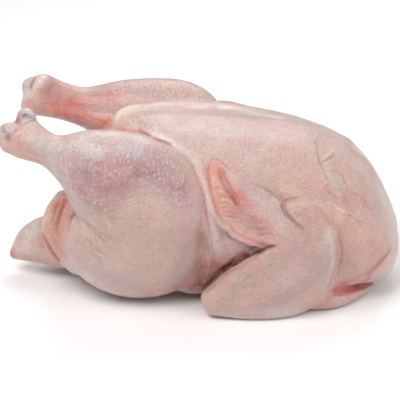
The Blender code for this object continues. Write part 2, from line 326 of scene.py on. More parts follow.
rightLeg = {
    "side": 1,
    "hip": (-0.043, 0.048, 0.060),
    "knee": (0.002, 0.052, 0.090),
    "drumstick": [
        (-0.014, 0.057, 0.1075), (-0.044, 0.059, 0.1120), (-0.076, 0.058, 0.1188), (-0.104, 0.056, 0.1250),
    ],
    "hock": (-0.1325, 0.055, 0.1343),
    "knuckles": [
        ((-0.1385, 0.0600, 0.1385), 0.0092), ((-0.1278, 0.0495, 0.1435), 0.0098),
        ((-0.1395, 0.0545, 0.1245), 0.0090),
    ],
    "thickness": [
        (0.00, 0.020, 0.022), (0.16, 0.028, 0.0358), (0.36, 0.029, 0.036), (0.54, 0.025, 0.030),
        (0.66, 0.019, 0.0215), (0.76, 0.0150, 0.0165), (0.84, 0.0135, 0.0155), (0.93, 0.0145, 0.0168),
        (1.00, 0.0155, 0.0190),
    ],
}
legShape = {
    "thigh": (0.062, 0.040, 0.0528),
    "flank": (0.056, 0.034, 0.047),
    "flankShift": (0.006, 0.009, 0.026),
    "voxel": 0.0020,
    "passes": 14,
    "thighPasses": 110,
    "thighFrom": -0.102,
    "thighTo": -0.060,
}


def growLeg(joints):
    side = joints["side"]
    hip = joints["hip"]
    hock = joints["hock"]
    along, out, up = legShape["flankShift"]
    spine = [joints["knee"], *joints["drumstick"], hock]
    forms = [
        growLimb("drumstick", spine, joints["thickness"], rings=24),
        growBall("thigh", hip, legShape["thigh"]),
        growBall("flank", moved(hip, along, side * out, up), legShape["flank"]),
        *[growBall("knuckle", place, (radius, radius, radius)) for place, radius in joints["knuckles"]],
    ]
    leg = fuseForms("leg", forms, legShape["voxel"], legShape["passes"])
    group = leg.vertex_groups.new(name="thighPart")        # drumstick and thigh flow into each other
    start, width = legShape["thighFrom"], legShape["thighTo"] - legShape["thighFrom"]
    for vertex in leg.data.vertices:
        weight = min(max((vertex.co.x - start) / width, 0), 1)
        if weight > 0:
            group.add([vertex.index], weight, "REPLACE")
    smoothOut(leg, legShape["thighPasses"], "thighPart")
    return leg


# Wings: shoulder back to elbow, forward to wrist, and the flat hand back up to its tip.
leftWing = {
    "side": -1,
    "shoulder": (0.108, -0.048, 0.034),
    "upperArm": (0.066, -0.079, 0.015),
    "elbow": (0.007, -0.085, 0.012),
    "forearm": (0.042, -0.087, 0.036),
    "wrist": (0.077, -0.084, 0.078),
    "hand": [(0.054, -0.087, 0.078), (0.033, -0.083, 0.0865), (0.0175, -0.0720, 0.102)],
    "tip": (0.007, -0.058, 0.1155),
    "lobe": [(0.034, -0.087, 0.021), (0.060, -0.086, 0.034), (0.083, -0.080, 0.045), (0.097, -0.066, 0.047)],
    "bed": (0.030, -0.047, 0.050),
    "pad": (0.029, -0.066, 0.0615),
    "armpit": [
        (0.004, -0.083, 0.0225), (0.014, -0.085, 0.0345), (0.032, -0.090, 0.0500), (0.054, -0.092, 0.0630),
    ],
}
rightWing = {
    "side": 1,
    "shoulder": (0.108, 0.045, 0.034),
    "upperArm": (0.066, 0.076, 0.015),
    "elbow": (0.007, 0.083, 0.012),
    "forearm": (0.042, 0.080, 0.036),
    "wrist": (0.078, 0.070, 0.079),
    "hand": [(0.056, 0.070, 0.082), (0.042, 0.063, 0.097), (0.030, 0.054, 0.1155)],
    "tip": (0.011, 0.0465, 0.1290),
    "lobe": [(0.034, 0.082, 0.021), (0.060, 0.079, 0.034), (0.083, 0.071, 0.045), (0.097, 0.058, 0.047)],
    "bed": (0.030, 0.040, 0.052),
    "pad": (0.034, 0.057, 0.0635),
    "armpit": [(0.004, 0.078, 0.0225), (0.014, 0.080, 0.0345), (0.032, 0.083, 0.0500), (0.054, 0.083, 0.0630)],
}
wingShape = {
    "lobe": [
        (0, 0.009, 0.010), (0.25, 0.013, 0.020), (0.5, 0.014, 0.028), (0.8, 0.013, 0.038), (1, 0.010, 0.026),
    ],
    "upperArm": [(0, 0.018, 0.020), (0.35, 0.016, 0.019), (0.75, 0.014, 0.015), (1, 0.009, 0.011)],
    "forearm": [(0, 0.010, 0.011), (0.35, 0.014, 0.016), (0.7, 0.013, 0.016), (1, 0.010, 0.013)],
    "hand": [
        (0, 0.009, 0.013), (0.25, 0.0075, 0.019), (0.5, 0.006, 0.0215), (0.75, 0.0050, 0.0145),
        (1, 0.003, 0.003),
    ],
    "wrist": (0.019, 0.012, 0.018),
    "heel": (0.021, 0.0135, 0.027),
    "heelShift": (0.006, 0.001, -0.016),
    "armpit": [(0, 0.006, 0.0016), (0.3, 0.011, 0.0026), (1, 0.004, 0.0012)],
    "bed": (0.048, 0.033, 0.045),
    "pad": (0.021, 0.020, 0.019),
    "handStart": (-0.003, 0.0, -0.004),
    "handLean": -0.45,
    "voxel": 0.0020,
    "passes": 18,
}


def growWing(joints):
    side = joints["side"]
    elbow = joints["elbow"]
    wrist = joints["wrist"]
    handSpine = [moved(wrist, *wingShape["handStart"]), *joints["hand"], joints["tip"]]
    arm = [
        growLimb("wingLobe", [elbow, *joints["lobe"]], wingShape["lobe"]),
        growLimb("upperArm", [joints["shoulder"], joints["upperArm"], elbow], wingShape["upperArm"]),
        growLimb("forearm", [elbow, joints["forearm"], wrist], wingShape["forearm"]),
        growBall("wrist", wrist, wingShape["wrist"]),
        growBall("heel", moved(wrist, *wingShape["heelShift"]), wingShape["heel"]),
    ]
    arm = fuseForms("arm", arm, wingShape["voxel"], wingShape["passes"])
    hand = growLimb("hand", handSpine, wingShape["hand"], across=(0, -side, wingShape["handLean"]), rings=18)
    return [arm, hand]


def onSide(side, *points):        # on either side, moved by half the keel's lean
    return [(x, side * y + 0.5 * bird["keelLean"] * z / bird["keelHeight"], z) for x, y, z in points]


# Loose skin and the back.
looseSkin = {
    "flap": [
        (-0.028, -0.041, 0.1215), (-0.050, -0.023, 0.1278), (-0.0625, -0.006, 0.1272), (-0.0590, 0.010, 0.1308),
        (-0.048, 0.024, 0.1308), (-0.028, 0.038, 0.1240),
    ],
    "flapThickness": [(0, 0.007, 0.005), (0.5, 0.008, 0.007), (1, 0.007, 0.005)],
    "membrane": [
        (-0.104, 0.052, 0.1225), (-0.090, 0.050, 0.1190), (-0.076, 0.046, 0.1155), (-0.058, 0.040, 0.1130),
    ],
    "membraneThickness": [(0, 0.004, 0.004), (0.4, 0.006, 0.006), (1, 0.009, 0.009)],
    "ventFold": [
        (-0.101, 0.050, 0.086), (-0.109, 0.047, 0.068), (-0.107, 0.042, 0.047), (-0.090, 0.037, 0.030),
    ],
    "ventThickness": [(0, 0.008, 0.010), (0.4, 0.010, 0.013), (1, 0.016, 0.018)],
    "rightVentShift": 0.010,
    "kneeWeb": [
        (-0.034, 0.031, 0.1270), (-0.016, 0.044, 0.1180), (0.005, 0.059, 0.094), (0.015, 0.070, 0.064),
        (0.023, 0.068, 0.038),
    ],
    "webThickness": [(0, 0.010, 0.006), (0.5, 0.012, 0.008), (1, 0.012, 0.012)],
    "backLobe": [(0.060, 0.056, 0.010), (0.098, 0.062, 0.0075), (0.128, 0.036, 0.0075)],
    "lobeThickness": [(0, 0.018, 0.011), (0.6, 0.016, 0.0095), (1, 0.014, 0.007)],
    "farBreast": [
        (-0.054, 0.015, 0.1255), (-0.035, 0.025, 0.1262), (-0.005, 0.031, 0.1250), (0.035, 0.031, 0.1203),
        (0.080, 0.026, 0.1125), (0.118, 0.014, 0.1010),
    ],
    "farThickness": [(0, 0.011, 0.0095), (0.3, 0.014, 0.0110), (0.7, 0.015, 0.0115), (1, 0.012, 0.009)],
    "lowFlank": (-0.004, 0.046, 0.0318),
    "lowFlankRadii": (0.031, 0.024, 0.0285),
    "tail": [(-0.095, 0, 0.033), (-0.116, 0, 0.028), (-0.134, 0, 0.0250), (-0.1530, -0.001, 0.0150)],
    "tailThickness": [(0, 0.034, 0.028), (0.4, 0.025, 0.022), (0.75, 0.016, 0.0155), (1, 0.0050, 0.0042)],
}

# What was cut away: the body cavity, the vent above the tail, and the groove where the neck came off.
cuts = {
    "cavity": [
        (-0.160, 0, 0.092), (-0.110, 0, 0.088), (-0.062, 0, 0.077), (0.000, 0, 0.065), (0.080, 0, 0.056),
    ],
    "cavityThickness": [
        (0.00, 0.018, 0.024), (0.20, 0.021, 0.031), (0.40, 0.029, 0.037), (0.65, 0.040, 0.040),
        (0.87, 0.034, 0.031), (1.00, 0.018, 0.016),
    ],
    "vent": [(-0.150, 0, 0.064), (-0.110, 0, 0.062), (-0.070, 0, 0.063)],
    "ventThickness": [(0, 0.009, 0.010), (0.5, 0.011, 0.015), (1, 0.015, 0.017)],
    "neck": [
        (0.100, -0.080, 0.017), (0.121, -0.059, 0.0130), (0.143, -0.033, 0.0125), (0.156, 0.000, 0.0140),
        (0.143, 0.032, 0.0125), (0.121, 0.058, 0.0125),
    ],
    "neckThickness": [
        (0, 0.003, 0.003), (0.3, 0.0075, 0.0042), (0.5, 0.0070, 0.0045), (0.7, 0.0070, 0.0042),
        (1, 0.003, 0.003),
    ],
}


def growSkin(side):
    web = growLimb("kneeWeb", onSide(side, *looseSkin["kneeWeb"]), looseSkin["webThickness"])
    lobe = growLimb("backLobe", onSide(side, *looseSkin["backLobe"]), looseSkin["lobeThickness"])
    low = growBall("lowFlank", onSide(side, looseSkin["lowFlank"])[0], looseSkin["lowFlankRadii"])
    return [web, lobe, low]


def growFolds(side):
    shift = looseSkin["rightVentShift"] if side > 0 else 0
    spine = [moved(point, dx=shift) for point in onSide(side, *looseSkin["ventFold"])]
    vent = growLimb("ventFold", spine, looseSkin["ventThickness"])
    membrane = growLimb("membrane", onSide(side, *looseSkin["membrane"]), looseSkin["membraneThickness"])
    return [vent, membrane]


bodyShape = {
    "voxel": 0.0022,
    "passes": 10,
    "fineVoxel": 0.00118,
    "finePasses": 10,
    "joinCoarser": 1.1,        # before the cuts
    "joinPasses": 2,
    "trianglesWanted": 190000,
}


def makeBody():
    core = [growTrunk(), growLimb("farBreast", looseSkin["farBreast"], looseSkin["farThickness"])]
    core.append(growLimb("flap", looseSkin["flap"], looseSkin["flapThickness"], across=(1, 0, 0)))
    for joints in (leftWing, rightWing):
        core.append(growBall("bed", joints["bed"], wingShape["bed"]))
        core.append(growBall("pad", joints["pad"], wingShape["pad"]))
    for side in (-1, 1):
        core += growSkin(side)
    core = fuseForms("core", core, bodyShape["voxel"], bodyShape["passes"])
    forms = [core, growLeg(leftLeg), growLeg(rightLeg), *growWing(leftWing), *growWing(rightWing)]
    for side in (-1, 1):
        forms += growFolds(side)
    forms.append(growLimb("tail", looseSkin["tail"], looseSkin["tailThickness"]))
    voxel = bodyShape["fineVoxel"] * bodyShape["joinCoarser"]
    body = fuseForms("chickenSkin", forms, voxel, bodyShape["joinPasses"])
    cutters = [
        growLimb("cavity", cuts["cavity"], cuts["cavityThickness"], rings=24),
        growLimb("vent", cuts["vent"], cuts["ventThickness"]),
        growLimb("neckCut", cuts["neck"], cuts["neckThickness"], across=(1, 0, 0)),
        *[growLimb("armpit", wing["armpit"], wingShape["armpit"]) for wing in (leftWing, rightWing)],
    ]
    for cutter in cutters:
        applyModifier(body, "BOOLEAN", operation="DIFFERENCE", solver="MANIFOLD", object=cutter)
        bpy.data.objects.remove(cutter)
    applyModifier(body, "REMESH", mode="VOXEL", voxel_size=bodyShape["fineVoxel"])
    smoothOut(body, bodyShape["finePasses"])
    pickOnly(body)
    editAll()
    bpy.ops.transform.resize(value=(size, size, size), center_override=(0, 0, 0))
    bpy.ops.mesh.bisect(plane_co=(0, 0, 0), plane_no=(0, 0, 1), use_fill=True, clear_inner=True)
    leaveEdit()
    bpy.ops.object.shade_smooth()
    return body


skin = makeBody()
print("body fused:", len(skin.data.polygons), "faces")

# Relief is drawn with strokes. A stroke is a row of photo pixels, cast from the camera onto the skin.
# Its left is that of someone who walks along it on the photo, and a lip rises on that side.
evening = {"row": 4, "direction": 2}        # how many neighbours on either side even a row out
mirrorPull = {"near": 0.01, "far": 0.03}        # metres over which a joint draws a mirrored place along
mirrorPairs = []        # each joint of the left side with the same joint of the right side
for left, right in ((leftLeg, rightLeg), (leftWing, rightWing)):
    for key in ("hip", "knee", "hock", "shoulder", "upperArm", "elbow", "forearm", "wrist", "tip"):
        if key in left:
            mirrorPairs.append((left[key], right[key]))
    key = "drumstick" if "drumstick" in left else "hand"
    mirrorPairs += list(zip(left[key], right[key]))


def mirrorPlaces(places):        # over the leaning keel plane
    out = np.array(places, float)
    out[:, 1] = -out[:, 1] + 2 * bird["keelLean"] * out[:, 2] / bird["keelHeight"]
    return out


jointFrom = mirrorPlaces([pair[0] for pair in mirrorPairs]) * size
jointShift = np.array([pair[1] for pair in mirrorPairs]) * size - jointFrom


def evened(rows, reach):        # each row becomes the mean of its neighbours
    if len(rows) < 3:
        return rows
    padded = np.pad(rows, ((reach, reach), (0, 0)), mode="edge")
    return sum(padded[i : i + len(rows)] for i in range(2 * reach + 1)) / (2 * reach + 1)


def onSkin(places):        # moved to the skin's nearest places
    return np.array([skin.closest_point_on_mesh(place)[1] for place in places.tolist()]).reshape(-1, 3)


def isSeen(place):        # by the photo's camera
    ray = Vector(place) - cameraPlace
    hit, met, normal, face = skin.ray_cast(cameraPlace, ray.normalized())
    return hit and (met - cameraPlace).length > ray.length - view["seenWithin"]


# Mirrored and moved as the nearest joints differ, without what the photo shows.
def toRightSide(places):
    out = mirrorPlaces(places)
    gap = ((out[:, None] - jointFrom[None]) ** 2).sum(2)
    pull = 1 / (gap + mirrorPull["near"] ** 2) ** 2
    rest = 1 / mirrorPull["far"] ** 4
    out += (pull[:, :, None] * jointShift[None]).sum(1) / (pull.sum(1)[:, None] + rest)
    out = onSkin(out)
    shown = [-1, *[k for k, place in enumerate(out) if isSeen(place)], len(out)]
    first, last = max(zip(shown, shown[1:]), key=lambda pair: pair[1] - pair[0])
    return out[first + 1 : last]


def pixelRay(px, py):
    right = (px - view["centre"][0]) / focalPixels
    up = (view["centre"][1] - py) / focalPixels
    return (Vector((right, 0, 0)) + cameraUp * up - towardsCamera).normalized()


def castRow(pixels):        # the skin's places under a row of photo pixels
    pixels = np.array(pixels, float)
    steps = int(np.abs(np.diff(pixels, axis=0)).sum() / view["rayStep"]) + 2
    found = []
    for px, py in smoothRow(pixels, steps) if len(pixels) > 1 else pixels:
        hit, place, normal, face = skin.ray_cast(cameraPlace, pixelRay(px, py))
        if hit:
            found.append(place)
    return onSkin(evened(np.array(found).reshape(-1, 3), evening["row"]))


def readSkin():
    count = len(skin.data.vertices)
    places = np.empty(count * 3, np.float32)
    skin.data.vertices.foreach_get("co", places)
    normals = np.empty(count * 3, np.float32)
    skin.data.vertex_normals.foreach_get("vector", normals)
    return {"places": places.reshape(-1, 3), "normals": normals.reshape(-1, 3)}


def brushReach(surface, row, reach):        # the vertices near a row of places, and where they lie along it
    row = np.asarray(row, np.float32)
    places = surface["places"]
    near = ((places > row.min(0) - reach) & (places < row.max(0) + reach)).all(1)
    near = np.flatnonzero(near)
    gap = ((places[near][:, None] - row[None]) ** 2).sum(2)
    at = gap.argmin(1)
    distance = np.sqrt(gap[np.arange(len(near)), at])
    close = distance < reach
    return near[close], at[close], distance[close]


def rowFrames(row):        # the skin's normal and the leftward direction at each place of a row
    normals = np.array([skin.closest_point_on_mesh(place)[2] for place in row.tolist()])
    normals = evened(normals, evening["row"])
    along = np.gradient(evened(row, evening["direction"]), axis=0) if len(row) > 1 else np.zeros((1, 3))
    leftward = np.cross(normals, along)
    return normals, leftward / (np.linalg.norm(leftward, axis=1)[:, None] + 1e-12)


# How far a stroke reaches and how its section runs, in widths of the stroke.
strokeShape = {
    "reach": 3.4,
    "lipReach": 7,
    "wallAt": 1.9,        # the low wall beside a crease
    "wallHeight": 0.35,
    "lipStep": 0.75,        # how sharply a lip's edge rises
    "lipFall": 3,
    "footFall": 1.3,        # the hollow at the foot of a lip
    "footDepth": 0.6,
    "facing": (2.5, 0.2),        # fades the stroke out where the skin turns away from it
    "fewest": 5,        # places, below which a row is left out
}


def drawStroke(surface, lift, row, kind, width, height, ends, flip=1):
    if len(row) < strokeShape["fewest"]:
        return
    normals, leftward = rowFrames(row)
    reach = strokeShape["lipReach" if kind == "lip" else "reach"]
    near, at, distance = brushReach(surface, row, width * reach)
    facing = (surface["normals"][near] * normals[at]).sum(1)
    steep, least = strokeShape["facing"]
    share = at / (len(row) - 1)
    taper = np.clip(np.minimum(share, 1 - share) / ends, 0, 1)
    taper = taper * np.clip(facing * steep + least, 0, 1)
    if kind == "lip":
        across = ((surface["places"][near] - row[at]) * leftward[at]).sum(1) * flip / width
        step = np.tanh(across / strokeShape["lipStep"])
        top = 0.5 * (1 + step) * np.exp(-((across / strokeShape["lipFall"]) ** 2))
        foot = strokeShape["footDepth"] * (1 - step) * np.exp(-((across / strokeShape["footFall"]) ** 2))
        shape = top - foot
    else:
        across = distance / width
        shape = np.exp(-(across**2))
        if kind == "crease":
            shape = strokeShape["wallHeight"] * np.exp(-((across - strokeShape["wallAt"]) ** 2)) - shape
    lift[near] += (shape * taper * height).astype(np.float32)


def drawRelief(strokes):
    surface = readSkin()
    lift = np.zeros(len(surface["places"]), np.float32)
    for kind, width, height, ends, pixels in strokes:
        row = castRow(pixels)
        drawStroke(surface, lift, row, kind, width * 0.001, height * 0.001, ends)
        drawStroke(surface, lift, toRightSide(row), kind, width * 0.001, height * 0.001, ends, flip=-1)
    places = surface["places"] + surface["normals"] * lift[:, None]
    skin.data.vertices.foreach_set("co", places.ravel())
    skin.data.update()
    bpy.context.view_layer.update()


# A family of wrinkles between two guides, each cut short, wavy and of its own strength.
family = {
    "steps": 12,        # places along a wrinkle
    "shift": 0.3,        # to either side, in gaps between wrinkles
    "cutFirst": 3,        # places cut from its start and end, at most
    "cutLast": 4,
    "drift": 0.5,
    "heights": (0.6, 1.2),
    "widths": (0.8, 1.25),
    "ends": 0.3,
}


def linesBetween(kind, width, height, count, wobble, first, last):
    steps, shift = family["steps"], family["shift"]
    strokes = []
    start, end = smoothRow(first, steps), smoothRow(last, steps)
    for share in np.linspace(0, 1, count):
        share = share + chance.uniform(-shift, shift) / count
        line = start + (end - start) * share
        cut = sorted(chance.uniform(0, 1, 2))
        line = line[int(cut[0] * family["cutFirst"]) : steps - int((1 - cut[1]) * family["cutLast"])]
        line = line + np.cumsum(chance.normal(0, wobble, line.shape), axis=0) * family["drift"]
        high = height * chance.uniform(*family["heights"])
        wide = width * chance.uniform(*family["widths"])
        strokes.append((kind, wide, high, family["ends"], line))
    return strokes


def softenAt(spots, passes):        # a smoothing brush on spots of the photo, with radii in pixels
    surface = readSkin()
    group = skin.vertex_groups.new(name="softened")
    for radius, pixels in spots:
        row = castRow(pixels)
        for places in (row, toRightSide(row)):
            if len(places) == 0:
                continue
            near, at, distance = brushReach(surface, places, radius * pixelSize)
            weight = np.cos(distance / (radius * pixelSize) * math.pi / 2)
            for index, share in zip(near.tolist(), weight.tolist()):
                group.add([index], share, "REPLACE")
    smoothOut(skin, passes, "softened")
    bpy.context.view_layer.update()


chance = np.random.default_rng(11)

# Main folds: kind, width and height in millimetres, share of the length that tapers off, photo pixels.
folds = {
    "handLeftEdge": ("lip", 1.2, 0.9, 0.08, [
        (212, 160), (209, 168), (210, 183), (214, 200), (220, 216), (231, 227), (240, 235), (262, 243),
        (282, 248),
    ]),
    "handUpperEdge": ("lip", 1.1, 1.1, 0.08, [
        (284, 206), (276, 199), (264, 191), (247, 183), (234, 174), (220, 162), (212, 160),
    ]),
    "handFold": ("crease", 1.5, 1.9, 0.18, [(217, 170), (223, 181), (228, 191), (234, 200), (241, 209)]),
    "handFoldTwo": ("crease", 1.1, 1.2, 0.18, [(221, 167), (225, 177), (232, 190), (240, 202)]),
    "wristCrease": ("crease", 1.2, 1.7, 0.18, [(281, 203), (285, 212), (291, 220), (303, 230)]),
    "thumbEdge": ("lip", 1.1, 1.4, 0.06, [
        (331, 292), (336, 275), (340, 255), (338, 239), (331, 224), (322, 213), (313, 205), (304, 201),
        (294, 200), (287, 203), (284, 208),
    ]),
    "bandLeft": ("lip", 1.5, 1.3, 0.16, [
        (140, 129), (147, 135), (158, 140), (171, 145), (184, 155), (193, 164), (198, 175), (202, 187),
        (205, 200), (208, 218), (211, 236), (214, 250), (214, 262), (209, 273),
    ]),
    "bandRight": ("crease", 1.2, 0.9, 0.18, [
        (204, 160), (207, 172), (210, 190), (214, 206), (220, 222), (230, 236), (240, 246),
    ]),
    "slit": ("crease", 1.2, 1.2, 0.1, [
        (202, 290), (215, 278), (228, 269), (240, 262), (252, 255), (264, 249), (275, 245),
    ]),
    "thighFront": ("crease", 4.0, 1.6, 0.2, [(200, 232), (206, 250), (205, 268), (200, 288)]),
    "flapEdge": ("ridge", 1.6, 0.8, 0.15, [(115, 129), (115.5, 118), (120, 111), (130, 107)]),
    "shankRidge": ("ridge", 1.8, 0.7, 0.18, [(24, 142), (36, 139), (50, 140)]),
    "shankFold": ("crease", 1.3, 0.8, 0.18, [(17, 137), (21, 148), (32, 154), (44, 157)]),
    "cuffEdge": ("lip", 1.1, 0.8, 0.1, [(4, 139), (12, 134), (20, 126), (30, 121), (38, 119)]),
    "keelShade": ("crease", 2.6, 0.5, 0.18, [(140, 107), (180, 109), (215, 114), (260, 119), (300, 127)]),
    "ventEdge": ("lip", 1.4, 1.0, 0.35, [(58, 186), (65, 197), (74, 209), (87, 222), (100, 232), (118, 240)]),
    "tailEdge": ("crease", 1.5, 1.8, 0.08, [(42, 232), (47, 243), (53, 253), (60, 262)]),
    "breastCreaseA": ("ridge", 1.6, 0.22, 0.18, [(269, 131), (274, 140), (277, 149), (277, 160)]),
    "breastCreaseB": ("ridge", 1.7, 0.2, 0.18, [(270, 142), (264, 150), (255, 159), (249, 165)]),
    "breastCreaseC": ("ridge", 1.4, 0.15, 0.18, [(287, 137), (283, 144)]),
    "breastCreaseD": ("lip", 1.3, 0.8, 0.25, [
        (337, 198), (334, 190), (327, 179), (321, 167), (318, 156), (315, 140),
    ]),
    "breastCreaseE": ("ridge", 1.0, 0.55, 0.18, [(337, 148), (329, 156), (320, 163)]),
    "breastCreaseF": ("ridge", 1.0, 0.3, 0.18, [(341, 164), (332, 164), (323, 166)]),
    "breastCreaseG": ("crease", 1.2, 0.6, 0.18, [(337, 165), (344, 178), (350, 189), (360, 195), (368, 207)]),
    "breastCreaseH": ("crease", 1.2, 0.5, 0.18, [(325, 186), (330, 196), (338, 206), (352, 212)]),
    "breastCreaseI": ("crease", 1.3, 0.5, 0.18, [(346, 214), (358, 222), (372, 226)]),
    "fatBump": ("ridge", 3.0, 0.8, 0.18, [(326, 172), (333, 184), (339, 196), (338, 208)]),
    "neckRim": ("lip", 1.2, 0.8, 0.15, [(391, 250), (378, 264), (367, 274), (352, 282), (334, 289)]),
    "wingFold": ("crease", 2.4, 0.35, 0.18, [(276, 302), (292, 297), (305, 290), (318, 279), (326, 266)]),
}
wrinkleRows = [        # as the folds are, or a family with its number, wobble, first and last line
    ("crease", 1.1, 0.5, 7, 0.4, [(36, 152), (46, 146), (56, 139)], [(46, 164), (57, 156), (68, 144)]),
    ("crease", 1.1, 0.45, 8, 0.5, [(122, 113), (131, 120), (138, 129)], [(146, 110), (158, 124), (166, 136)]),
    ("crease", 1.0, 0.75, 6, 0.4, [(238, 212), (252, 217), (265, 218)], [(246, 233), (262, 234), (280, 234)]),
    ("crease", 0.9, 0.6, 7, 0.4, [(215, 188), (221, 190), (227, 194)], [(224, 216), (234, 218), (244, 220)]),
    ("crease", 1.4, 0.26, 14, 0.5, [(92, 200), (104, 238), (134, 276)], [(178, 212), (172, 244), (154, 276)]),
    ("crease", 1.2, 0.26, 12, 0.5, [(238, 268), (228, 284), (224, 300)], [(292, 244), (286, 272), (280, 300)]),
    ("crease", 1.1, 0.4, 9, 0.8, [(318, 166), (330, 160), (342, 158)], [(330, 200), (344, 200), (360, 208)]),
    ("crease", 1.1, 0.9, 0.18, [(59, 201), (55, 211), (53, 224)]),
    ("crease", 1.1, 1.1, 0.18, [(67, 199), (62, 210), (58, 222), (57, 234)]),
    ("crease", 1.2, 1.3, 0.18, [(75, 211), (70, 221), (68, 232)]),
    ("ridge", 1.5, 0.9, 0.18, [(63, 200), (58, 211), (55, 224)]),
    ("ridge", 1.4, 0.8, 0.18, [(71, 207), (65, 219), (62, 232)]),
    ("crease", 1.1, 0.8, 10, 0.5, [(84, 220), (96, 233), (113, 247)], [(70, 236), (84, 252), (104, 266)]),
    ("crease", 1.0, 0.55, 7, 0.5, [(298, 204), (311, 208), (322, 217)], [(293, 214), (305, 221), (316, 231)]),
    ("crease", 2.4, 0.18, 6, 1.4, [(330, 205), (350, 216), (376, 226)], [(346, 248), (362, 256), (384, 250)]),
    ("crease", 1.1, 0.5, 6, 0.5, [(14, 140), (28, 148), (40, 158)], [(38, 134), (46, 140), (56, 148)]),
    ("crease", 1.3, 0.4, 6, 0.6, [(46, 222), (50, 234), (58, 250)], [(28, 226), (22, 238), (18, 250)]),
    ("ridge", 1.0, 0.6, 4, 0.5, [(214, 222), (222, 240), (228, 256)], [(206, 214), (213, 236), (219, 256)]),
]
wrinkles = []
for row in wrinkleRows:
    wrinkles += [row] if len(row) == 5 else linesBetween(*row)
softSpots = {
    "passes": 90,
    "spots": [(13, [(208, 238), (209, 258), (204, 280)]), (9, [(60, 238), (70, 258), (90, 275)])],
}
softenAt(softSpots["spots"], softSpots["passes"])
drawRelief(folds.values())
drawRelief(wrinkles)
print("folds and wrinkles drawn")
triangles = sum(len(face.vertices) - 2 for face in skin.data.polygons)
applyModifier(skin, "DECIMATE", ratio=bodyShape["trianglesWanted"] / triangles)
bpy.ops.object.shade_smooth()
bpy.context.view_layer.update()
print("skin thinned to", len(skin.data.polygons), "faces")


# Colour, painted with soft spots and strokes into a colour attribute, and masks of follicles and crinkles. The
# paint holds painted shade in folds and slits, painted highlights, and painted light that lifts shaded skin.
tones = {
    "skin": (211, 184, 176),
    "pale": (228, 212, 206),
    "white": (238, 230, 224),
    "blueWhite": (216, 214, 216),
    "purple": (172, 130, 133),
    "mauve": (190, 162, 164),
    "beige": (196, 171, 157),
    "grey": (188, 170, 165),
    "clay": (186, 152, 144),
    "pink": (214, 168, 160),
    "rose": (206, 138, 130),
    "peach": (220, 160, 132),
    "orange": (208, 112, 78),
    "salmon": (236, 152, 132),
    "red": (208, 98, 92),
    "deepRed": (160, 62, 56),
    # dark: the painted shade in the slit under the wing, and the dark spots on the knuckles
    "dark": (84, 34, 28),
    "plum": (150, 92, 96),
    "steel": (150, 142, 156),
    "brown": (140, 84, 58),
    "meat": (150, 78, 68),
    # raw red, lightened past its own colour as painted light for skin that lies in shade
    "raw": (255, 140, 128),
    # the brown of the painted shade along folds
    "crease": (152, 80, 66),
    "cream": (240, 224, 204),
}


def linear(tone):
    share = np.array(tones[tone]) / 255
    return np.where(share < 0.04045, share / 12.92, ((share + 0.055) / 1.055) ** 2.4)


